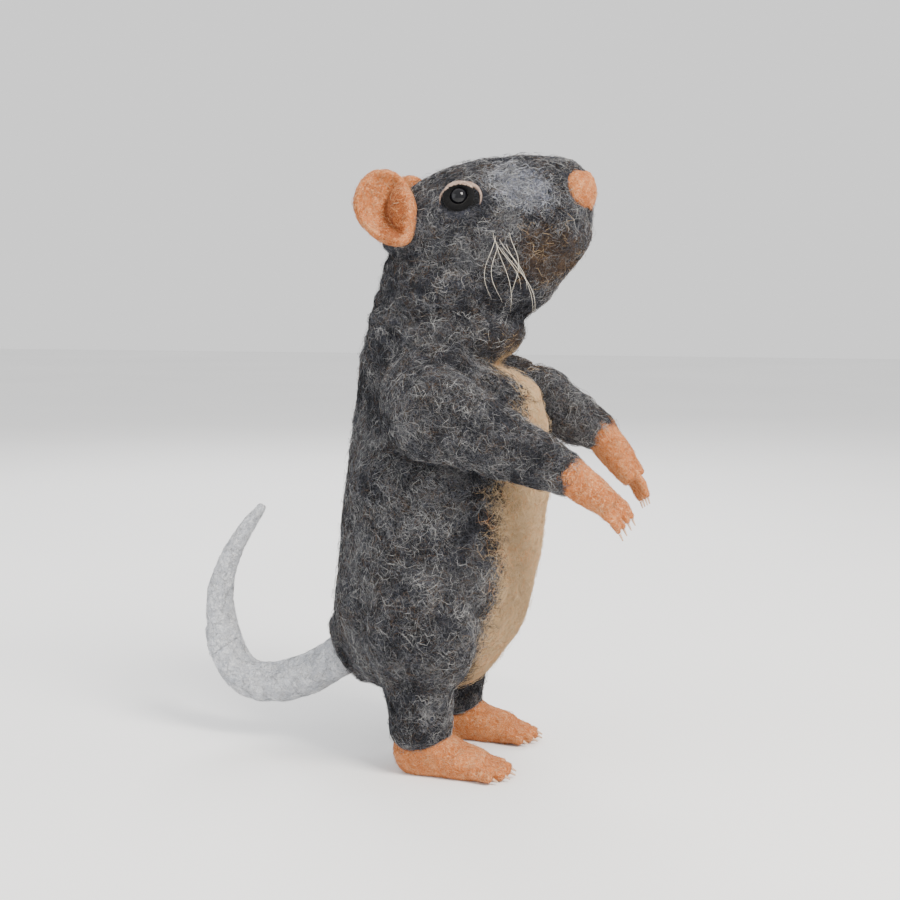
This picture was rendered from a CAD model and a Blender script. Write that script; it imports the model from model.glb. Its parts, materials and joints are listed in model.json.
import json
import math

import bmesh
import bpy
import numpy as np
from mathutils import Matrix, Vector, noise
from mathutils.bvhtree import BVHTree


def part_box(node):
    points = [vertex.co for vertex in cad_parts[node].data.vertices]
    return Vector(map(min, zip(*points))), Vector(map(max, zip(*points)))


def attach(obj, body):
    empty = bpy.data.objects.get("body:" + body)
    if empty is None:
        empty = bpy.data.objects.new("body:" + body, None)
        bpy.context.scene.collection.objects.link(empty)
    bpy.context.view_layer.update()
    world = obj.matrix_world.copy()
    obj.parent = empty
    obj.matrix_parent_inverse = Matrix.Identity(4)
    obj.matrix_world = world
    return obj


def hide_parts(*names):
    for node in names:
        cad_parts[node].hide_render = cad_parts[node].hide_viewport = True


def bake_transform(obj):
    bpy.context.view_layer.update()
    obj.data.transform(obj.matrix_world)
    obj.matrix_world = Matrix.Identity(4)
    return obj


# The looks of a needle-felted rat: felt skins with loose curly fibres, a glass eye, whiskers and claws.
# Lengths are in metres in the row frame: +X is the way the rat faces, +Y its left, +Z up.

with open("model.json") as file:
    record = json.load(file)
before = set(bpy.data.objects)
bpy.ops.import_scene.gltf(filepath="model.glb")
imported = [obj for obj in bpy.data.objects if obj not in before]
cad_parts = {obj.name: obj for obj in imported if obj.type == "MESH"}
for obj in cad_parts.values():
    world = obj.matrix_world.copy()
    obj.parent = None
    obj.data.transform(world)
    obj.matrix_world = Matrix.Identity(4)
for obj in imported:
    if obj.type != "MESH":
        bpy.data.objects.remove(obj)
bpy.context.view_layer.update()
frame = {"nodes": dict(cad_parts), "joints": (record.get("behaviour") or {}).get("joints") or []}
MM = 0.001
JOINT = {j["name"]: Vector(j["pos_m"]) for j in frame["joints"]}
SIDES = (("right", -1), ("left", 1))
NECK_UP = Vector(next(j["axis"] for j in frame["joints"] if j["name"] == "head_turn")).normalized()

# ---- driving sizes ----
SKIN_VOXEL = 1.1 * MM        # detail of the body's felt surface
SLEEVE_VOXEL = 0.9 * MM
TAIL_VOXEL = 0.8 * MM
FINE_VOXEL = 0.55 * MM       # detail of paws, ears and feet
FIBRE_RADIUS = 0.046 * MM    # loose wool fibre, thicker than life so that it shows
FINE_FIBRE_RADIUS = 0.038 * MM
WILD_SHARE = 0.10            # share of the fibres that stand off the skin
WILD_RISE = 2.6              # and how many times further they rise
FIBRES_PER_OBJECT = 6000     # keeps each object small enough to be written out whole
FIBRE_SEGMENTS = 5
FIBRE_SIDES = 3
FIBRE_CLEARANCE = 0.05 * MM  # a fibre lies at least this far off the skin
ROOT_DEPTH = 0.35 * MM       # and its root starts this much deeper


# ---- camera, light and floor ----

CAMERA_AZIMUTH_DEG = 15      # from the rat's right side towards its front
CAMERA_DISTANCE = 0.5
CAMERA_HEIGHT = 155 * MM
CAMERA_LENS = 61.3
AIM_HEIGHT = 102 * MM
AIM_AHEAD = 3.4 * MM         # aims this far in front of the nape
WORLD_STRENGTH = 1.15
LIGHT_TARGET = (0.01, 0, 0.11)
# lights: (name, place, size, power in watts, colour)
LIGHTS = (
    ("key_light", (0.55, -0.35, 0.75), 0.35, 15, (1.0, 0.95, 0.88)),
    ("fill_light", (-0.6, -0.5, 0.35), 0.6, 2.0, (0.95, 0.97, 1.0)),
    ("back_light", (-0.3, 0.7, 0.7), 0.5, 6, (1, 1, 1)),
)
FLOOR_REACH = 3.0

def make_camera():
    """Close camera a little above the middle of the figure, slightly in front of its right side."""
    middle = Vector((JOINT["neck_nod"].x + AIM_AHEAD, 0, AIM_HEIGHT))
    azimuth = math.radians(CAMERA_AZIMUTH_DEG)
    place = middle + Vector((math.sin(azimuth), -math.cos(azimuth), 0)) * CAMERA_DISTANCE
    place.z = CAMERA_HEIGHT
    data = bpy.data.cameras.new("camera")
    data.sensor_width = 36
    data.lens = CAMERA_LENS
    data.clip_start = 0.01
    camera = bpy.data.objects.new("camera", data)
    camera.location = place
    camera.rotation_euler = (middle - place).to_track_quat("-Z", "Y").to_euler()
    bpy.context.collection.objects.link(camera)
    bpy.context.scene.camera = camera


def area_light(name, place, size, power, colour):
    """Soft square light aimed at the figure."""
    data = bpy.data.lights.new(name, "AREA")
    data.size = size
    data.energy = power
    data.color = colour
    light = bpy.data.objects.new(name, data)
    light.location = place
    light.rotation_euler = (Vector(LIGHT_TARGET) - Vector(place)).to_track_quat("-Z", "Y").to_euler()
    bpy.context.collection.objects.link(light)


def make_studio():
    """Pale floor, pale surroundings and soft light from the front and above."""
    world = bpy.data.worlds.new("studio")
    world.use_nodes = True
    background = world.node_tree.nodes["Background"]
    background.inputs["Color"].default_value = (1.0, 1.0, 1.0, 1)
    background.inputs["Strength"].default_value = WORLD_STRENGTH
    bpy.context.scene.world = world
    for light in LIGHTS:
        area_light(*light)
    mesh = bpy.data.meshes.new("floor")
    corners = [(x * FLOOR_REACH, y * FLOOR_REACH, 0) for x, y in ((-1, -1), (1, -1), (1, 1), (-1, 1))]
    mesh.from_pydata(corners, [], [(0, 1, 2, 3)])
    floor = bpy.data.objects.new("floor", mesh)
    bpy.context.collection.objects.link(floor)
    floor.data.materials.append(floor_material())


# ---- materials ----

def principled(name):
    """New node material with its shader, ready for more nodes."""
    material = bpy.data.materials.new(name)
    material.use_nodes = True
    return material, material.node_tree, material.node_tree.nodes["Principled BSDF"]


def noise_node(tree, scale, detail=4.0, distortion=0.0, stretch=None):
    """Noise over the object's own coordinates; scale is in features per metre."""
    coordinates = tree.nodes.new("ShaderNodeTexCoord")
    source = coordinates.outputs["Object"]
    if stretch:
        mapping = tree.nodes.new("ShaderNodeMapping")
        mapping.inputs["Scale"].default_value = stretch
        tree.links.new(source, mapping.inputs["Vector"])
        source = mapping.outputs["Vector"]
    texture = tree.nodes.new("ShaderNodeTexNoise")
    texture.inputs["Scale"].default_value = scale
    texture.inputs["Detail"].default_value = detail
    texture.inputs["Distortion"].default_value = distortion
    tree.links.new(source, texture.inputs["Vector"])
    return texture.outputs["Fac"]


def ramp(tree, value, stops):
    """Colour ramp over a value; stops are (position, colour)."""
    node = tree.nodes.new("ShaderNodeValToRGB")
    elements = node.color_ramp.elements
    elements[0].position, elements[0].color = stops[0][0], (*stops[0][1], 1)
    elements[1].position, elements[1].color = stops[-1][0], (*stops[-1][1], 1)
    for position, colour in stops[1:-1]:
        elements.new(position).color = (*colour, 1)
    tree.links.new(value, node.inputs["Fac"])
    return node.outputs["Color"]


def mix_colours(tree, factor, first, second):
    """Second colour over the first, by the factor."""
    node = tree.nodes.new("ShaderNodeMix")
    node.data_type = "RGBA"
    tree.links.new(factor, node.inputs["Factor"])
    tree.links.new(first, node.inputs["A"])
    tree.links.new(second, node.inputs["B"])
    return node.outputs["Result"]


def combine(tree, operation, first, second):
    """Arithmetic on two values, either of which may be a plain number."""
    node = tree.nodes.new("ShaderNodeMath")
    node.operation = operation
    for slot, value in zip(node.inputs, (first, second)):
        if isinstance(value, (int, float)):
            slot.default_value = value
        else:
            tree.links.new(value, slot)
    return node.outputs["Value"]


def weighted(tree, first, first_weight, second, second_weight):
    """Sum of two values, each multiplied by its weight."""
    left = combine(tree, "MULTIPLY", first, first_weight)
    right = combine(tree, "MULTIPLY", second, second_weight)
    return combine(tree, "ADD", left, right)


def painted(tree, attribute):
    """Value of a mask that is stored on the skin's vertices."""
    node = tree.nodes.new("ShaderNodeAttribute")
    node.attribute_name = attribute
    return node.outputs["Fac"]


EDGE_RAGGEDNESS = 1.1        # how far the wisps push the edge of one wool into the next


def ragged(tree, mask, scale=420.0):
    """The mask with its edge broken up, the way one wool is felted into another."""
    wisps = combine(tree, "SUBTRACT", noise_node(tree, scale, 5.0, 1.5), 0.5)
    shifted = combine(tree, "ADD", mask, combine(tree, "MULTIPLY", wisps, EDGE_RAGGEDNESS))
    node = tree.nodes.new("ShaderNodeMapRange")
    node.interpolation_type = "SMOOTHSTEP"
    node.inputs["From Min"].default_value = 0.38
    node.inputs["From Max"].default_value = 0.62
    tree.links.new(shifted, node.inputs["Value"])
    return node.outputs["Result"]


def strands(tree, scale, seed, width):
    """Thin curly lines, one colour's loose fibres: where a noise field crosses its middle value."""
    coordinates = tree.nodes.new("ShaderNodeTexCoord")
    field = tree.nodes.new("ShaderNodeTexNoise")
    field.noise_dimensions = "4D"
    field.inputs["W"].default_value = seed
    field.inputs["Scale"].default_value = scale
    field.inputs["Detail"].default_value = 1.5
    field.inputs["Distortion"].default_value = 0.6
    tree.links.new(coordinates.outputs["Object"], field.inputs["Vector"])
    away = combine(tree, "ABSOLUTE", combine(tree, "SUBTRACT", field.outputs["Fac"], 0.5), 0.0)
    line = tree.nodes.new("ShaderNodeMapRange")
    line.interpolation_type = "SMOOTHSTEP"
    line.inputs["From Min"].default_value = width
    line.inputs["From Max"].default_value = width * 0.25
    tree.links.new(away, line.inputs["Value"])
    return line.outputs["Result"]


LAYER_STEP = 0.23            # each layer of strands is this much finer than the one before
LAYER_SEED_STEP = 3.7


def strand_layers(tree, colour, layers, scale=330.0, width=0.030):
    """The colour under several layers of curly fibres, and the height that those layers give."""
    height = None
    for number, (shade, amount) in enumerate(layers):
        curls = strands(tree, scale * (1 + LAYER_STEP * number), LAYER_SEED_STEP * number, width)
        line = combine(tree, "MULTIPLY", curls, amount)
        tone = tree.nodes.new("ShaderNodeRGB")
        tone.outputs["Color"].default_value = (*shade, 1)
        colour = mix_colours(tree, line, colour, tone.outputs["Color"])
        height = line if height is None else combine(tree, "MAXIMUM", height, line)
    return colour, height


def felt_bump(tree, shader, strength, strand_height, tangle_scale=1100.0):
    """Fibre relief: the curly strands and a fine tangle over soft lumps."""
    tangle = noise_node(tree, tangle_scale, 6.0, 3.0)
    soft = noise_node(tree, 260.0, 2.0)
    height = weighted(tree, tangle, 0.8, soft, 1.2)
    height = combine(tree, "ADD", height, combine(tree, "MULTIPLY", strand_height, 0.5))
    bump = tree.nodes.new("ShaderNodeBump")
    bump.inputs["Strength"].default_value = strength
    bump.inputs["Distance"].default_value = 0.8 * MM
    tree.links.new(height, bump.inputs["Height"])
    tree.links.new(bump.outputs["Normal"], shader.inputs["Normal"])


def wool_finish(shader, sheen=0.08, sheen_tint=(0.8, 0.82, 0.88)):
    """Dry wool: rough, no gloss, a soft sheen at grazing angles."""
    shader.inputs["Roughness"].default_value = 0.95
    shader.inputs["Specular IOR Level"].default_value = 0.12
    shader.inputs["Sheen Weight"].default_value = sheen
    shader.inputs["Sheen Roughness"].default_value = 0.5
    shader.inputs["Sheen Tint"].default_value = (*sheen_tint, 1)


# colours of each wool from its darkest to its lightest: (position in the noise, colour)
GREY_STOPS = [(0.32, (0.003, 0.003, 0.004)), (0.45, (0.011, 0.011, 0.015)), (0.55, (0.028, 0.028, 0.035)),
              (0.64, (0.060, 0.060, 0.070)), (0.74, (0.12, 0.12, 0.125))]
LIGHT_STOPS = [(0.34, (0.010, 0.010, 0.013)), (0.50, (0.060, 0.060, 0.066)), (0.70, (0.26, 0.255, 0.24))]
DUSK_STOPS = [(0.32, (0.002, 0.002, 0.003)), (0.50, (0.010, 0.011, 0.017)), (0.70, (0.040, 0.044, 0.062))]
WARM_STOPS = [(0.32, (0.008, 0.005, 0.004)), (0.50, (0.050, 0.031, 0.020)), (0.70, (0.17, 0.11, 0.07))]
PALE_STOPS = [(0.32, (0.03, 0.034, 0.045)), (0.50, (0.12, 0.13, 0.17)), (0.70, (0.34, 0.36, 0.44))]
DARK_STOPS = [(0.30, (0.001, 0.001, 0.001)), (0.80, (0.008, 0.008, 0.009))]
CREAM_STOPS = [(0.30, (0.33, 0.20, 0.095)), (0.50, (0.55, 0.37, 0.19)), (0.70, (0.70, 0.52, 0.31))]
PEACH_STOPS = [(0.28, (0.24, 0.058, 0.013)), (0.45, (0.44, 0.135, 0.038)), (0.60, (0.58, 0.215, 0.073)),
               (0.75, (0.70, 0.34, 0.145))]
FOLD_STOPS = [(0.30, (0.16, 0.035, 0.010)), (0.70, (0.38, 0.12, 0.040))]
LID_STOPS = [(0.3, (0.12, 0.075, 0.055)), (0.5, (0.27, 0.185, 0.145)), (0.7, (0.44, 0.33, 0.27))]
CLAW_STOPS = [(0.3, (0.36, 0.20, 0.12)), (0.5, (0.58, 0.38, 0.26)), (0.7, (0.74, 0.58, 0.45))]
TAIL_STOPS = [(0.30, (0.26, 0.28, 0.32)), (0.46, (0.48, 0.50, 0.54)), (0.60, (0.68, 0.69, 0.71)),
              (0.75, (0.84, 0.84, 0.84))]
GLASS_STOPS = [(0.2, (0.002, 0.002, 0.003)), (0.9, (0.006, 0.006, 0.008))]
WIRE_STOPS = [(0.3, (0.30, 0.30, 0.31)), (0.7, (0.5, 0.5, 0.51))]
PAPER_STOPS = [(0.3, (0.86, 0.86, 0.86)), (0.7, (0.90, 0.90, 0.90))]
# layers of curly strands over the felt: (colour, strength)
GREY_STRANDS = [((0.045, 0.050, 0.072), 0.85), ((0.12, 0.105, 0.09), 0.7), ((0.17, 0.17, 0.185), 0.7),
                ((0.014, 0.013, 0.015), 0.8), ((0.28, 0.275, 0.265), 0.5)]
PALE_STRANDS = [((0.20, 0.22, 0.30), 0.7), ((0.42, 0.45, 0.54), 0.6)]
CREAM_STRANDS = [((0.72, 0.54, 0.33), 0.5), ((0.42, 0.27, 0.14), 0.35)]
PEACH_STRANDS = [((0.72, 0.38, 0.18), 0.5), ((0.40, 0.115, 0.035), 0.45), ((0.82, 0.56, 0.36), 0.35)]
LID_STRANDS = [((0.62, 0.50, 0.41), 0.5), ((0.25, 0.18, 0.15), 0.4)]
TAIL_STRANDS = [((0.86, 0.86, 0.86), 0.6), ((0.26, 0.28, 0.33), 0.45), ((0.55, 0.57, 0.62), 0.5)]


def felt_colour(tree, stops, patch_scale=150.0, tangle_scale=900.0):
    """Mottled wool: broad patches of blended colours under a fine tangle of fibres."""
    patches = noise_node(tree, patch_scale, 3.0, 0.8)
    tangle = noise_node(tree, tangle_scale, 6.0, 2.5)
    return ramp(tree, weighted(tree, patches, 0.5, tangle, 0.5), stops)


# painted areas of the coat: (area, its colours, how much of them is blended in)
BLENDED_AREAS = (("light", LIGHT_STOPS, 0.65), ("dusk", DUSK_STOPS, 0.7), ("warm", WARM_STOPS, 0.75))


def grey_felt():
    """Mottled charcoal coat; the painted areas are lighter, darker, brown, pale, black or cream wool."""
    material, tree, shader = principled("grey_felt")
    colour, height = strand_layers(tree, felt_colour(tree, GREY_STOPS), GREY_STRANDS)
    for area, stops, amount in BLENDED_AREAS:
        other = felt_colour(tree, stops)
        mask = combine(tree, "MULTIPLY", ragged(tree, painted(tree, area)), amount)
        colour = mix_colours(tree, mask, colour, other)
    pale, _ = strand_layers(tree, felt_colour(tree, PALE_STOPS), PALE_STRANDS, 360.0, 0.04)
    colour = mix_colours(tree, ragged(tree, painted(tree, "pale"), 500.0), colour, pale)
    cream, _ = strand_layers(tree, felt_colour(tree, CREAM_STOPS), CREAM_STRANDS, 420.0)
    colour = mix_colours(tree, ragged(tree, painted(tree, "cream")), colour, cream)
    mask = ragged(tree, painted(tree, "dark"), 900.0)
    colour = mix_colours(tree, mask, colour, felt_colour(tree, DARK_STOPS))
    tree.links.new(colour, shader.inputs["Base Color"])
    wool_finish(shader)
    felt_bump(tree, shader, 1.0, height)
    return material


def plain_felt(name, stops, layers, bump=0.7, sheen_tint=(0.9, 0.85, 0.8), patch_scale=180.0, shade=None):
    """Felt of one wool blend; shade is (painted area, its own stops)."""
    material, tree, shader = principled(name)
    colour, height = strand_layers(tree, felt_colour(tree, stops, patch_scale), layers, 520.0)
    if shade:
        area, other_stops = shade
        mask = ragged(tree, painted(tree, area), 700.0)
        colour = mix_colours(tree, mask, colour, felt_colour(tree, other_stops))
    tree.links.new(colour, shader.inputs["Base Color"])
    wool_finish(shader, 0.06, sheen_tint)
    felt_bump(tree, shader, bump, height)
    return material


def fibre_material(name, colour, sheen=0.04):
    """One colour of loose fibre; the mix of several fibre colours makes the coat's mottling."""
    material, _, shader = principled(name)
    shader.inputs["Base Color"].default_value = (*colour, 1)
    wool_finish(shader, sheen)
    shader.inputs["Roughness"].default_value = 0.75
    return material


def glass_bead():
    """Polished black glass."""
    material, tree, shader = principled("black_glass")
    tone = ramp(tree, noise_node(tree, 900.0, 2.0), GLASS_STOPS)
    tree.links.new(tone, shader.inputs["Base Color"])
    shader.inputs["Roughness"].default_value = 0.04
    shader.inputs["IOR"].default_value = 1.5
    shader.inputs["Specular IOR Level"].default_value = 0.3
    return material


def steel_wire():
    """Drawn wire with faint streaks along it."""
    material, tree, shader = principled("steel_wire")
    tone = ramp(tree, noise_node(tree, 700.0, 3.0, 0.0, (1, 1, 6)), WIRE_STOPS)
    tree.links.new(tone, shader.inputs["Base Color"])
    shader.inputs["Metallic"].default_value = 1.0
    shader.inputs["Roughness"].default_value = 0.38
    return material


def floor_material():
    """Plain pale matt paper."""
    material, tree, shader = principled("floor_paper")
    tone = ramp(tree, noise_node(tree, 3.0, 2.0), PAPER_STOPS)
    tree.links.new(tone, shader.inputs["Base Color"])
    shader.inputs["Roughness"].default_value = 0.9
    return material


# ---- mesh work ----

REFERENCE_X = JOINT["right_ankle"].x + 4 * MM


def at(x, y, z):
    """Point given in millimetres, with x counted from the figure's own middle line of balance."""
    return Vector((REFERENCE_X + x * MM, y * MM, z * MM))


def node_bmesh(bm, node):
    """Adds a copy of a CAD node's surface."""
    bm.from_mesh(frame["nodes"][node].data)


def add_ball(bm, centre, radii):
    """Adds an oval ball of wool; radii are in millimetres."""
    matrix = Matrix.Translation(centre) @ Matrix.Diagonal((*[r * MM for r in radii], 1))
    bmesh.ops.create_icosphere(bm, subdivisions=4, radius=1.0, matrix=matrix)


def new_object(name, mesh):
    """Object with the mesh, shaded smooth."""
    obj = bpy.data.objects.new(name, mesh)
    bpy.context.collection.objects.link(obj)
    mesh.shade_smooth()
    return obj


def outer_shell_only(mesh):
    """Drops the surfaces that lie wholly inside another one."""
    bm = bmesh.new()
    bm.from_mesh(mesh)
    bm.verts.ensure_lookup_table()
    seen = set()
    shells = []
    for start in bm.verts:
        if start.index in seen:
            continue
        shell, stack = [], [start]
        seen.add(start.index)
        while stack:
            vertex = stack.pop()
            shell.append(vertex)
            for edge in vertex.link_edges:
                other = edge.other_vert(vertex)
                if other.index not in seen:
                    seen.add(other.index)
                    stack.append(other)
        shells.append(shell)
    shells.sort(key=len, reverse=True)
    bmesh.ops.delete(bm, geom=[v for shell in shells[1:] for v in shell], context="VERTS")
    bm.to_mesh(mesh)
    bm.free()


def felted(name, nodes, balls=(), voxel=SKIN_VOXEL, smooth=6):
    """One smooth skin over several CAD nodes and wool fillers."""
    bm = bmesh.new()
    for node in nodes:
        node_bmesh(bm, node)
    for centre, radii in balls:
        add_ball(bm, centre, radii)
    mesh = bpy.data.meshes.new(name)
    bm.to_mesh(mesh)
    bm.free()
    rough = new_object(name + "_rough", mesh)
    remesh = rough.modifiers.new("remesh", "REMESH")
    remesh.mode = "VOXEL"
    remesh.voxel_size = voxel
    soften = rough.modifiers.new("soften", "SMOOTH")
    soften.factor = 0.5
    soften.iterations = smooth
    evaluated = rough.evaluated_get(bpy.context.evaluated_depsgraph_get())
    result = bpy.data.meshes.new_from_object(evaluated)
    result.name = name
    bpy.data.objects.remove(rough)
    outer_shell_only(result)
    return result


def lumps(mesh, broad=0.7, fine=0.25, broad_scale=95.0, fine_scale=420.0):
    """Pushes the skin in and out a little, the uneven density of felted wool; heights in millimetres."""
    count = len(mesh.vertices)
    normals = np.empty(count * 3, np.float32)
    mesh.vertices.foreach_get("normal", normals)
    points = np.empty(count * 3, np.float32)
    mesh.vertices.foreach_get("co", points)
    points = points.reshape(-1, 3)
    heights = np.empty(count, np.float32)
    for i, point in enumerate(points):
        place = Vector(point)
        heights[i] = (broad * noise.noise(place * broad_scale) + fine * noise.noise(place * fine_scale)) * MM
    points += normals.reshape(-1, 3) * heights[:, None]
    mesh.vertices.foreach_set("co", points.ravel())
    mesh.update()


def cut(mesh, name, planes):
    """Closed part of a skin on the near side of each plane, given as (point, direction to drop)."""
    bm = bmesh.new()
    bm.from_mesh(mesh)
    for point, direction in planes:
        geometry = bm.verts[:] + bm.edges[:] + bm.faces[:]
        bmesh.ops.bisect_plane(bm, geom=geometry, plane_co=point, plane_no=direction, clear_outer=True)
        rim = [edge for edge in bm.edges if edge.is_boundary]
        bmesh.ops.holes_fill(bm, edges=rim, sides=0)
    piece = bpy.data.meshes.new(name)
    bm.to_mesh(piece)
    bm.free()
    return piece


def paint(mesh, name, rule):
    """Stores a mask on the vertices; the rule takes x, y, z in millimetres and gives 0 to 1."""
    layer = mesh.attributes.new(name, "FLOAT", "POINT")
    values = []
    for vertex in mesh.vertices:
        x, y, z = vertex.co
        values.append(min(1.0, max(0.0, rule((x - REFERENCE_X) / MM, y / MM, z / MM))))
    layer.data.foreach_set("value", values)


def profile(z, table):
    """Value at height z from (height, value) pairs in falling order of height."""
    heights = [row[0] for row in reversed(table)]
    widths = [row[1] for row in reversed(table)]
    return float(np.interp(z, heights, widths))


# ---- loose fibres ----

FIBRE_COLOURS = {
    "soot": (0.005, 0.005, 0.006),
    "charcoal": (0.030, 0.031, 0.037),
    "slate": (0.082, 0.087, 0.105),
    "ash": (0.22, 0.22, 0.225),
    "white": (0.48, 0.48, 0.47),
    "cream": (0.62, 0.45, 0.27),
    "pale_cream": (0.80, 0.74, 0.62),
    "umber": (0.030, 0.018, 0.011),
    "brown": (0.12, 0.075, 0.045),
    "peach": (0.54, 0.195, 0.065),
    "pale_peach": (0.72, 0.38, 0.18),
    "silver": (0.50, 0.52, 0.56),
    "snow": (0.78, 0.78, 0.78),
}
GREY_MIX = {"soot": 0.20, "charcoal": 0.22, "slate": 0.22, "ash": 0.21, "white": 0.06, "brown": 0.09}
LIGHT_MIX = {"charcoal": 0.14, "slate": 0.28, "ash": 0.36, "white": 0.14, "brown": 0.08}
DUSK_MIX = {"soot": 0.42, "charcoal": 0.33, "slate": 0.17, "ash": 0.06, "umber": 0.02}
WARM_MIX = {"umber": 0.28, "brown": 0.38, "charcoal": 0.16, "ash": 0.12, "cream": 0.06}
PALE_MIX = {"slate": 0.22, "ash": 0.40, "silver": 0.28, "white": 0.10}
CREAM_MIX = {"cream": 0.9, "pale_peach": 0.1}
PEACH_MIX = {"peach": 0.62, "pale_peach": 0.30, "cream": 0.08}
TAIL_MIX = {"snow": 0.40, "silver": 0.38, "ash": 0.22}
COAT_MIXES = (("plain", GREY_MIX), ("light", LIGHT_MIX), ("dusk", DUSK_MIX), ("warm", WARM_MIX),
              ("pale", PALE_MIX), ("cream", CREAM_MIX))
PEACH_MIXES = (("plain", PEACH_MIX),)
TAIL_MIXES = (("plain", TAIL_MIX),)
fibre_shades = {}


def fibre_shade(name):
    """The material of one fibre colour, made once."""
    if name not in fibre_shades:
        fibre_shades[name] = fibre_material("fibre_" + name, FIBRE_COLOURS[name])
    return fibre_shades[name]


def surface_samples(mesh, count, rng):
    """Random points with normals, spread evenly over the skin's area, and the vertex nearest to each."""
    mesh.calc_loop_triangles()
    triangles = np.empty(len(mesh.loop_triangles) * 3, np.int32)
    mesh.loop_triangles.foreach_get("vertices", triangles)
    triangles = triangles.reshape(-1, 3)
    points = np.empty(len(mesh.vertices) * 3, np.float32)
    mesh.vertices.foreach_get("co", points)
    points = points.reshape(-1, 3).astype(float)
    a, b, c = (points[triangles[:, i]] for i in range(3))
    cross = np.cross(b - a, c - a)
    area = np.linalg.norm(cross, axis=1)
    chosen = rng.choice(len(triangles), count, p=area / area.sum())
    u = rng.random((count, 2))
    u[u.sum(axis=1) > 1] = 1 - u[u.sum(axis=1) > 1]
    roots = a[chosen] + (b - a)[chosen] * u[:, :1] + (c - a)[chosen] * u[:, 1:]
    normals = cross[chosen] / np.maximum(area[chosen], 1e-20)[:, None]
    return roots, normals, triangles[chosen, 0]


def unit_rows(vectors):
    """Each row scaled to a length of 1."""
    return vectors / np.maximum(np.linalg.norm(vectors, axis=1), 1e-12)[:, None]


def surface_tree(mesh):
    """Search tree that finds the nearest spot on a skin."""
    return BVHTree.FromPolygons([v.co for v in mesh.vertices], [tuple(p.vertices) for p in mesh.polygons])


def fibre_paths(skin, roots, normals, length, lift, curl, flow, rng):
    """Curly lines that start in the skin, wander over it and end just above it."""
    count = len(roots)
    wander = unit_rows(np.cross(normals, rng.normal(size=(count, 3))))
    combed = flow - normals * (normals * flow).sum(axis=1)[:, None]
    forward = unit_rows(wander + combed)
    side = np.cross(normals, forward)
    reach = length * rng.uniform(0.55, 1.35, count) * MM
    swing = curl * rng.uniform(0.3, 1.5, count) * MM * rng.choice((-1, 1), count)
    turns = rng.uniform(0.6, 1.8, count)
    phase = rng.uniform(0, 2 * math.pi, count)
    rise = lift * rng.uniform(0.2, 1.0, count) ** 2 * MM
    rise[rng.random(count) < WILD_SHARE] *= WILD_RISE
    tree = surface_tree(skin)
    path = np.empty((count, FIBRE_SEGMENTS + 1, 3))
    for step in range(FIBRE_SEGMENTS + 1):
        t = step / FIBRE_SEGMENTS
        bend = np.sin(2 * math.pi * turns * t + phase) - np.sin(phase)
        spot = roots + forward * (reach * t)[:, None] + side * (swing * bend)[:, None]
        height = rise * math.sin(math.pi * (0.12 + 0.70 * t)) + FIBRE_CLEARANCE - ROOT_DEPTH * (step == 0)
        for i in range(count):
            near, normal, _, _ = tree.find_nearest(spot[i])
            path[i, step] = np.array(near) + np.array(normal) * height[i]
    return path


def fibre_mesh(name, path, shade_index, shades, radius):
    """Thin tapered closed tubes along the paths, each in one colour."""
    count, steps, _ = path.shape
    along = np.empty_like(path)
    along[:, 1:-1] = path[:, 2:] - path[:, :-2]
    along[:, 0] = path[:, 1] - path[:, 0]
    along[:, -1] = path[:, -1] - path[:, -2]
    along = unit_rows(along.reshape(-1, 3)).reshape(path.shape)
    across = unit_rows(np.cross(along.reshape(-1, 3), (0.31, 0.17, 0.93))).reshape(path.shape)
    up = np.cross(along, across)
    taper = np.interp(np.linspace(0, 1, steps), (0, 0.2, 0.7, 1), (0.7, 1, 0.9, 0.25)) * radius
    rings = []
    for corner in range(FIBRE_SIDES):
        angle = 2 * math.pi * corner / FIBRE_SIDES
        rings.append(path + (across * math.cos(angle) + up * math.sin(angle)) * taper[None, :, None])
    vertices = np.stack(rings, axis=2).reshape(-1, 3)
    base = np.arange(count)[:, None, None, None] * steps * FIBRE_SIDES
    ring = np.arange(steps - 1)[None, :, None, None] * FIBRE_SIDES
    corner = np.arange(FIBRE_SIDES)[None, None, :, None]
    after = (corner + 1) % FIBRE_SIDES
    quads = np.concatenate([base + ring + corner, base + ring + after, base + ring + FIBRE_SIDES + after,
                            base + ring + FIBRE_SIDES + corner], axis=3).reshape(-1, 4)
    first = np.arange(count)[:, None] * steps * FIBRE_SIDES
    start_cap = first + np.arange(FIBRE_SIDES)[::-1][None, :]
    end_cap = first + (steps - 1) * FIBRE_SIDES + np.arange(FIBRE_SIDES)[None, :]
    mesh = bpy.data.meshes.new(name)
    quad_count, cap_count = len(quads), 2 * count
    mesh.vertices.add(len(vertices))
    mesh.vertices.foreach_set("co", vertices.ravel())
    mesh.loops.add(quad_count * 4 + cap_count * FIBRE_SIDES)
    corners = np.concatenate([quads.ravel(), start_cap.ravel(), end_cap.ravel()])
    mesh.loops.foreach_set("vertex_index", corners)
    mesh.polygons.add(quad_count + cap_count)
    starts = np.concatenate([np.arange(quad_count) * 4, quad_count * 4 + np.arange(cap_count) * FIBRE_SIDES])
    mesh.polygons.foreach_set("loop_start", starts)
    per_quad = np.repeat(shade_index, (steps - 1) * FIBRE_SIDES)
    mesh.polygons.foreach_set("material_index", np.concatenate([per_quad, shade_index, shade_index]))
    mesh.update(calc_edges=True)
    for shade in shades:
        mesh.materials.append(shade)
    return mesh


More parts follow.
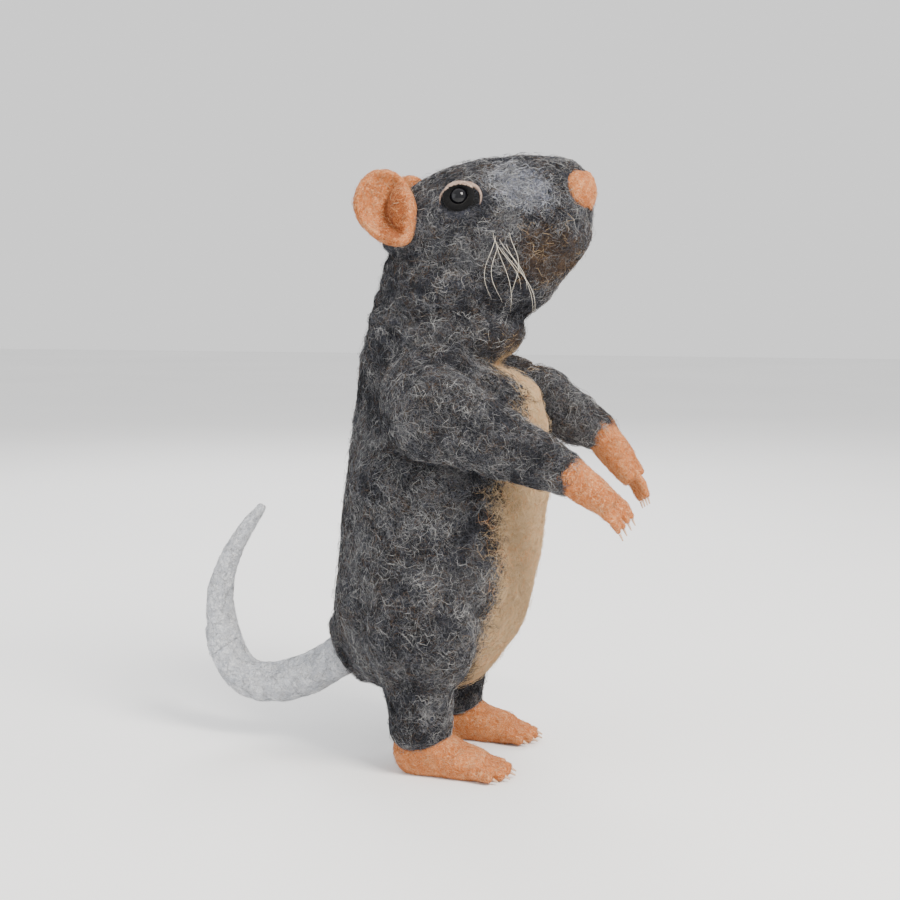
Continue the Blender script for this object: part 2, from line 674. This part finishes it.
def pick_shades(mixes, region, rng):
    """Colour index for each fibre from the mix of its region."""
    names = sorted({shade for _, mix in mixes for shade in mix})
    chosen = np.zeros(len(region), np.int32)
    for number, (_, mix) in enumerate(mixes):
        spots = np.flatnonzero(region == number)
        weights = np.array([mix.get(shade, 0.0) for shade in names])
        chosen[spots] = rng.choice(len(names), len(spots), p=weights / weights.sum())
    return chosen, [fibre_shade(shade) for shade in names]


def mask_values(mesh, name):
    """A painted mask as an array, or zeros where the skin hasn't got it."""
    values = np.zeros(len(mesh.vertices), np.float32)
    if name in mesh.attributes:
        mesh.attributes[name].data.foreach_get("value", values)
    return values


def fibres(name, skin, slot, motion, mixes, flow, seed, density, length, lift=0.6, curl=1.3,
           radius=FIBRE_RADIUS, skip=None):
    """Loose fibres over a skin, in several objects.

    The first mix is for the plain areas, each other one for the painted area of its name. Density is per
    square millimetre; length, lift and curl are in millimetres.
    """
    rng = np.random.default_rng(seed)
    area = sum(p.area for p in skin.polygons) / MM ** 2
    count = int(area * density * (1.0))
    roots, normals, nearest = surface_samples(skin, count, rng)
    region = np.zeros(count, np.int32)
    for number, (area_name, _) in enumerate(mixes[1:], 1):
        region[mask_values(skin, area_name)[nearest] > rng.uniform(0.3, 0.7, count)] = number
    keep = np.ones(count, bool)
    if skip:
        keep = np.array([not skip(*((p - (REFERENCE_X, 0, 0)) / MM)) for p in roots])
    path = fibre_paths(skin, roots[keep], normals[keep], length, lift, curl, np.array(flow, float), rng)
    shade_index, shades = pick_shades(mixes, region[keep], rng)
    for batch, start in enumerate(range(0, len(path), FIBRES_PER_OBJECT)):
        some = slice(start, start + FIBRES_PER_OBJECT)
        batch_name = name + "_" + str(batch + 1)
        hair = new_object(batch_name, fibre_mesh(batch_name, path[some], shade_index[some], shades, radius))
        move(hair, motion)


# ---- the figure ----

NAPE = JOINT["neck_nod"]
SKULL = JOINT["head_turn"]
EYE_LOW, EYE_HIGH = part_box("right_eye_bead")
EYE_X = ((EYE_LOW[0] + EYE_HIGH[0]) / 2 - REFERENCE_X) / MM
EYE_Z = (EYE_LOW[2] + EYE_HIGH[2]) / 2 / MM
# balls of wool along the nape, in millimetres: (X of the ball's back, Z, its radius along X)
NAPE_LINE = [(-29.6, 132, 22), (-28.2, 138, 22), (-26.8, 144, 21), (-24.6, 150, 21), (-22.4, 156, 20),
             (-21.2, 161, 18)]
LID_STEPS = 60
LID_REACH, LID_RISE = 6.6, 5.2    # half width and height of the lid's arch, in millimetres
LID_START_DEG, LID_SWEEP_DEG = -18, 216
LID_SHIFT = 0.6                   # the arch sits this far ahead of the bead and below it
WHISKERS, WHISKER_STEPS = 8, 20
WHISKER_RADIUS = 0.065 * MM
TORSO_NODES = ["torso_coat", "torso_core", "chest_patch", "belly_patch", "tail_collar",
               "right_thigh_wool", "left_thigh_wool", "right_shin_wool", "left_shin_wool"]
HEAD_NODES = ["head_coat", "head_core"]
# half width of the cream wool at each height: (Z, half width; below 0 there is none)
BIB_WIDTHS = [(140, -6), (134, 2), (128, 6), (116, 8.5), (104, 13), (96, 18), (80, 20), (62, 18), (44, 17),
              (33, 13), (26, 6)]
TAIL_ROOT_TOP = 50                # the curled tip hangs over the root, and is above this height
SOLE_BARE = 0.8                   # no fibre grows below this height, in millimetres
# fibres of each part: number per square millimetre, then millimetres
TORSO_HAIR = {"density": 1.9, "length": 5.2}
HEAD_HAIR = {"density": 1.9, "length": 4.2}
SLEEVE_HAIR = {"density": 2.0, "length": 4.6}
PAW_HAIR = {"density": 1.8, "length": 2.8, "lift": 0.25, "curl": 0.5, "radius": FINE_FIBRE_RADIUS}
FOOT_HAIR = {"density": 1.6, "length": 3.0, "lift": 0.25, "curl": 0.5, "radius": FINE_FIBRE_RADIUS}
TAIL_HAIR = {"density": 1.4, "length": 3.4, "lift": 0.22, "curl": 0.8, "radius": FINE_FIBRE_RADIUS}
FACE_HAIR = {"density": 1.8, "length": 2.6, "lift": 0.3, "curl": 0.6, "radius": FINE_FIBRE_RADIUS}


def bib(x, y, z):
    """Cream wool down the chest and belly."""
    behind = x < 2 if z > 50 else x < -6
    if behind or z > 142 or z < 24:
        return 0.0
    return 0.5 + (profile(z, BIB_WIDTHS) - abs(y)) / 9


def muzzle_patch(x, y, z):
    """Pale wool on each side of the muzzle."""
    distance = math.hypot((x - 27) / 12.0, (z - 186 + 0.3 * (x - 27)) / 8.0)
    return 0.0 if x < 8 or abs(y) < 4 else 0.36 + (1 - distance) * 0.55


def eye_line(x, y, z):
    """Black wool round each eye, drawn out towards the nose."""
    ahead = max(0.0, x - EYE_X)
    distance = math.hypot((x - EYE_X - 0.8) / 6.6, (z - EYE_Z + 0.12 * ahead) / (4.4 - 0.18 * ahead))
    return 0.5 + (1 - distance) * 1.6 if abs(y) > 8 and -8 < x < 18 else 0.0


def tone(x, y, z):
    """Uneven blend of light and dark wool over the coat, 0 dark to 1 light; the spine is lighter."""
    place = Vector((x, y, z)) * MM
    blend = 0.42 * noise.noise(place * 70) + 0.50 * noise.noise(place * 190 + Vector((7, 3, 1)))
    spine = 0.16 if x < -24 and z < 150 else 0.0
    return 0.5 + blend + spine


def light_wool(x, y, z):
    """Where lighter wool is blended in."""
    return 0.5 + (tone(x, y, z) - 0.66) * 2.2


def dusk_wool(x, y, z):
    """Where blue-black wool is blended in."""
    return 0.5 + (0.36 - tone(x, y, z)) * 2.2


def warm_wool(x, y, z):
    """Brown wool under the muzzle, round the chest and along the edge of the belly."""
    jaw = 1.1 - math.hypot((x - 35) / 15.0, (z - 165) / 15.0)
    chest = 1 - math.hypot((x - 24) / 16.0, (z - 134) / 13.0)
    edge = 0.45 - abs(bib(x, y, z) - 0.25) * 1.4 if z < 126 and x > 0 else 0.0
    return max(jaw, chest, edge) * 0.9 + 0.05


def body_fillers():
    """Wool that rounds off the shoulders, haunches, shins and the meeting of head, neck and body."""
    middle = NAPE.lerp(SKULL, 0.5)
    balls = [(NAPE + Vector((2 * MM, 0, -6 * MM)), (22.5, 19.5, 13)),
             (SKULL + Vector((0.5 * MM, 0, 0)), (21.5, 20.0, 9)),
             (middle + Vector((1 * MM, 0, 0)), (21.0, 19.5, 12)),
             (at(2, 0, 141), (22, 18.5, 12))]
    for x, z, reach in NAPE_LINE:
        balls.append((at(x + reach, 0, z), (reach, 17.5, 8)))
    for _, side in SIDES:
        balls.append((at(-1, side * 17, 119), (17, 10, 19)))
        balls.append((at(-4, side * 17, 90), (24, 10, 16)))
        for step in range(5):
            balls.append((at(-4, side * 21, 12 + 3.5 * step), (9.6 + 0.35 * step, 9.4 + 0.2 * step, 5)))
    return balls


def paint_coat(mesh):
    """Areas of lighter, darker and brown wool in a grey skin."""
    paint(mesh, "light", light_wool)
    paint(mesh, "dusk", dusk_wool)
    paint(mesh, "warm", warm_wool)


def body_skin():
    """Skin of torso, neck and head in one, so that it is cut into pieces that meet exactly."""
    mesh = felted("body", TORSO_NODES + HEAD_NODES, body_fillers(), SKIN_VOXEL, 10)
    lumps(mesh, 0.8, 0.35)
    paint_coat(mesh)
    paint(mesh, "cream", bib)
    paint(mesh, "pale", muzzle_patch)
    paint(mesh, "dark", eye_line)
    return mesh


def make_body():
    """Torso, neck and head skins with their fibres."""
    skin = body_skin()
    felt = grey_felt()
    low_cut = NAPE - NECK_UP * 9 * MM
    high_cut = SKULL - NECK_UP * 6 * MM
    bend_neck = ("torso", "neck", NAPE - NECK_UP * 8 * MM, NAPE + NECK_UP * 4 * MM)
    turn_head = ("neck", "head", SKULL - NECK_UP * 5 * MM, SKULL + NECK_UP * 5 * MM)
    parts = (
        ("torso_skin", [(low_cut, NECK_UP)], "torso", TORSO_NODES, (-0.25, 0, -0.55), TORSO_HAIR),
        ("neck_skin", [(low_cut, -NECK_UP), (high_cut, NECK_UP)], bend_neck, ["neck_wool"], (-0.2, 0, -0.5),
         TORSO_HAIR),
        ("head_skin", [(high_cut, -NECK_UP)], turn_head, HEAD_NODES, (-0.7, 0, -0.25), HEAD_HAIR),
    )
    for number, (name, planes, motion, nodes, flow, hair) in enumerate(parts):
        piece = new_object(name, cut(skin, name, planes))
        piece.data.materials.append(felt)
        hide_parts(*nodes)
        move(piece, motion)
        fibres(name + "_fibres", piece.data, "grey_wool", motion, COAT_MIXES, flow, 11 + number,
               skip=near_eye, **hair)
    return skin


def near_eye(x, y, z):
    """Round the eyes, where no loose fibre may cross the bead."""
    return abs(y) > 8 and math.hypot((x - EYE_X - 1) / 7.5, (z - EYE_Z) / 6.0) < 1


def move(obj, motion):
    """Rides on one body, or bends between two: (body, body, start, end)."""
    if isinstance(motion, str):
        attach(obj, motion)
    else:
        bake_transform(obj)


def make_arms():
    """Sleeves of grey wool that bend at the elbow, and peach paws."""
    felt = grey_felt()
    peach = plain_felt("peach_paw_felt", PEACH_STOPS, PEACH_STRANDS)
    for number, (name, side) in enumerate(SIDES):
        shoulder, elbow, wrist = (JOINT[name + "_" + joint] for joint in ("shoulder", "elbow", "wrist"))
        reach = (wrist - elbow).normalized()
        balls = [(shoulder - Vector((2 * MM, 0, 0)), (15.0, 9.0, 15.5)), (elbow, (11.3, 8.7, 11.3)),
                 (elbow.lerp(wrist, 0.55), (8.6, 7.7, 8.6)), (wrist - reach * 1.5 * MM, (6.6, 6.6, 6.6))]
        if side > 0:
            balls.append((shoulder.lerp(elbow, 0.45) + Vector((0, -1.5 * MM, 2.5 * MM)), (13.0, 8.8, 13.0)))
        nodes = [name + "_upper_arm_wool", name + "_forearm_wool"]
        skin = felted(name + "_sleeve", nodes, balls, SLEEVE_VOXEL, 8)
        lumps(skin, 0.6, 0.3)
        paint_coat(skin)
        elbow_cut = elbow - reach * 9 * MM
        bend = (name + "_upper_arm", name + "_forearm", elbow - reach * 8 * MM, elbow + reach * 6 * MM)
        parts = (("_upper_arm", [(elbow_cut, reach)], name + "_upper_arm", name + "_upper_arm_wool"),
                 ("_forearm", [(elbow_cut, -reach)], bend, name + "_forearm_wool"))
        for part, planes, motion, node in parts:
            piece = new_object(name + part + "_skin", cut(skin, name + part, planes))
            piece.data.materials.append(felt)
            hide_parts(node)
            move(piece, motion)
            fibres(name + part + "_fibres", piece.data, "grey_wool", motion, COAT_MIXES, (0.7, 0, -0.35),
                   31 + number, **SLEEVE_HAIR)
        paw_skin = felted(name + "_paw", [name + "_paw_wool", name + "_fingers"], (), FINE_VOXEL, 4)
        lumps(paw_skin, 0.25, 0.12, 200.0, 700.0)
        paw = new_object(name + "_paw_skin", paw_skin)
        paw.data.materials.append(peach)
        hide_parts(name + "_paw_wool", name + "_fingers")
        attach(paw, name + "_paw")
        fibres(name + "_paw_fibres", paw.data, "peach_felt", name + "_paw", PEACH_MIXES, (0.7, 0, -0.5),
               51 + number, **PAW_HAIR)


def make_feet():
    """Peach feet with toes."""
    peach = plain_felt("peach_foot_felt", PEACH_STOPS, PEACH_STRANDS)
    for number, (name, _) in enumerate(SIDES):
        skin = felted(name + "_foot", [name + "_foot_wool", name + "_toes"], (), FINE_VOXEL * 1.1, 5)
        lumps(skin, 0.3, 0.12, 180.0, 700.0)
        for vertex in skin.vertices:
            vertex.co.z = max(vertex.co.z, 0.0)
        foot = new_object(name + "_foot_skin", skin)
        foot.data.materials.append(peach)
        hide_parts(name + "_foot_wool", name + "_toes")
        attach(foot, name + "_foot")
        fibres(name + "_foot_fibres", foot.data, "peach_felt", name + "_foot", PEACH_MIXES, (0.6, 0, -0.3),
               61 + number, skip=lambda x, y, z: z < SOLE_BARE, **FOOT_HAIR)


def make_tail():
    """Pale tail in three lengths that bend where the wire bends."""
    felt = plain_felt("tail_felt", TAIL_STOPS, TAIL_STRANDS, 0.6, (0.9, 0.92, 1.0), 260.0)
    swing, bend, curl = JOINT["tail_swing"], JOINT["tail_bend"], JOINT["tail_curl"]
    balls = [(swing, (7.0, 7.0, 7.0)), (bend, (6.9, 6.9, 6.9)), (curl, (5.2, 5.2, 5.2))]
    skin = felted("tail", ["tail_root_wool", "tail_middle_wool", "tail_tip_wool"], balls, TAIL_VOXEL, 8)
    lumps(skin, 0.35, 0.2, 160.0, 500.0)
    first = (swing - bend).normalized()
    second = (bend - curl).normalized()
    third = Vector((-0.15, 0, 1)).normalized()
    middle_cut = bend.lerp(swing, 0.4)
    tip_cut = curl.lerp(bend, 0.35)
    parts = (
        ("tail_root", [(middle_cut, -first), (at(0, 0, TAIL_ROOT_TOP), Vector((0, 0, 1)))],
         ("torso", "tail_root", swing + first * 3 * MM, swing - first * 7 * MM)),
        ("tail_middle", [(middle_cut, first), (tip_cut, -second)],
         ("tail_root", "tail_middle", bend + first * 7 * MM, bend - first * 4 * MM)),
        ("tail_tip", [(tip_cut, second)],
         ("tail_middle", "tail_tip", curl - third * 5 * MM, curl + third * 5 * MM)),
    )
    for number, (name, planes, motion) in enumerate(parts):
        piece = new_object(name + "_skin", cut(skin, name, planes))
        piece.data.materials.append(felt)
        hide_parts(name + "_wool")
        move(piece, motion)
        fibres(name + "_fibres", piece.data, "tail_felt", motion, TAIL_MIXES, (-0.3, 0, 0), 71 + number,
               **TAIL_HAIR)


def lid_balls(head_tree, side):
    """Row of small wool balls that arches over an eye, resting on the head."""
    balls = []
    for step in range(LID_STEPS + 1):
        angle = math.radians(LID_START_DEG + LID_SWEEP_DEG * step / LID_STEPS)
        x = EYE_X + LID_SHIFT + LID_REACH * math.cos(angle)
        z = EYE_Z - LID_SHIFT + LID_RISE * math.sin(angle)
        near, _, _, _ = head_tree.ray_cast(at(x, side * 30, z), Vector((0, -side, 0)))
        thickness = 0.30 + 0.28 * math.sin(math.pi * step / LID_STEPS)
        balls.append((near, (thickness, thickness, thickness)))
    return balls


def eyelid(x, y, z):
    """Black lining of the lid, next to the bead."""
    distance = math.hypot((x - EYE_X - LID_SHIFT) / 5.6, (z - EYE_Z + LID_SHIFT) / 4.6)
    return 0.5 + (1 - distance) * 4


def ear_fold(x, y, z):
    """Darker hollow of the ear, towards its front edge."""
    return 0.5 + (1 - math.hypot((x + 13.5) / 4.5, (z - 178) / 9.5)) * 1.0


def narrow_ear(mesh):
    """Draws the lower end of an ear in towards the cheek."""
    for vertex in mesh.vertices:
        below = max(0.0, 182 - vertex.co.z / MM) / 14
        vertex.co.x += 4.2 * below ** 2 * MM


def make_face(head_skin):
    """Ears, nose and eyelids in felt, and the whiskers."""
    peach = plain_felt("peach_face_felt", PEACH_STOPS, PEACH_STRANDS, shade=("fold", FOLD_STOPS))
    lid = plain_felt("lid_felt", LID_STOPS, LID_STRANDS, 0.4, shade=("lining", DARK_STOPS))
    head_tree = surface_tree(head_skin)
    pads = [(at(42.2, side * 3.6, 185), (4.8, 5.6, 6.3)) for _, side in SIDES]
    pieces = [("nose", peach, "peach_felt", 0.45, pads)]
    for name, side in SIDES:
        root = (at(-11.5, side * 15.5, 178.5), (4.5, 4.0, 8.5))
        pieces.append((name + "_ear", peach, "peach_felt", 0.55, (root,)))
        pieces.append((name + "_eyelid_rim", lid, "lid_felt", 0.22, lid_balls(head_tree, side)))
    for number, (name, material, slot, voxel, balls) in enumerate(pieces):
        skin = felted(name, [name], balls, voxel * MM, 3)
        if name.endswith("ear"):
            narrow_ear(skin)
        lumps(skin, 0.2, 0.12, 250.0, 800.0)
        paint(skin, "fold", ear_fold)
        paint(skin, "lining", eyelid)
        piece = new_object(name + "_skin", skin)
        piece.data.materials.append(material)
        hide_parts(name)
        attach(piece, "head")
        if material is peach:
            fibres(name + "_fibres", skin, "peach_felt", "head", PEACH_MIXES, (-0.3, 0, 0.3), 81 + number,
                   **FACE_HAIR)
    for name, side in SIDES:
        make_whiskers(name, side, head_tree)


def make_whiskers(name, side, head_tree):
    """Long fine hairs that hang from the cheek in loose curls."""
    rng = np.random.default_rng(95 + side)
    path = np.empty((WHISKERS, WHISKER_STEPS + 1, 3))
    for i in range(WHISKERS):
        x, z = rng.uniform(18.5, 25), rng.uniform(166, 173)
        root, normal, _, _ = head_tree.find_nearest(at(x, side * 20, z))
        reach = rng.uniform(13, 23)
        drift = rng.uniform(0.5, 11)
        swing, phase, turns = rng.uniform(1.2, 3.2), rng.uniform(0, 6.28), rng.uniform(0.45, 1.0)
        for step in range(WHISKER_STEPS + 1):
            t = step / WHISKER_STEPS
            curl = swing * (math.sin(2 * math.pi * turns * t + phase) - math.sin(phase))
            offset = Vector((drift * t + curl, side * (1.2 + 5.0 * t * (1 - 0.5 * t)), -reach * t)) * MM
            path[i, step] = root - normal * 0.5 * MM + offset * min(1.0, t * 8)
    shade_index = np.zeros(WHISKERS, np.int32)
    shades = [fibre_shade("pale_cream")]
    mesh = fibre_mesh(name + "_whisker_hairs", path, shade_index, shades, WHISKER_RADIUS)
    whiskers = new_object(name + "_whisker_hairs", mesh)
    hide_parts(name + "_whiskers")
    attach(whiskers, "head")


def finish_small_parts():
    """Materials of the CAD pieces that show as they are: beads, claws and wires."""
    glass, wire = glass_bead(), steel_wire()
    claw = plain_felt("claw_felt", CLAW_STOPS, LID_STRANDS, 0.3)
    for node, obj in frame["nodes"].items():
        if "eye_bead" in node:
            chosen = glass
        elif "claws" in node:
            chosen = claw
        elif "wire" in node or "binding" in node:
            chosen = wire
        else:
            continue
        for entry in obj.material_slots:
            entry.material = chosen


make_camera()
make_studio()
BODY = make_body()
make_arms()
make_feet()
make_tail()
make_face(BODY)
finish_small_parts()
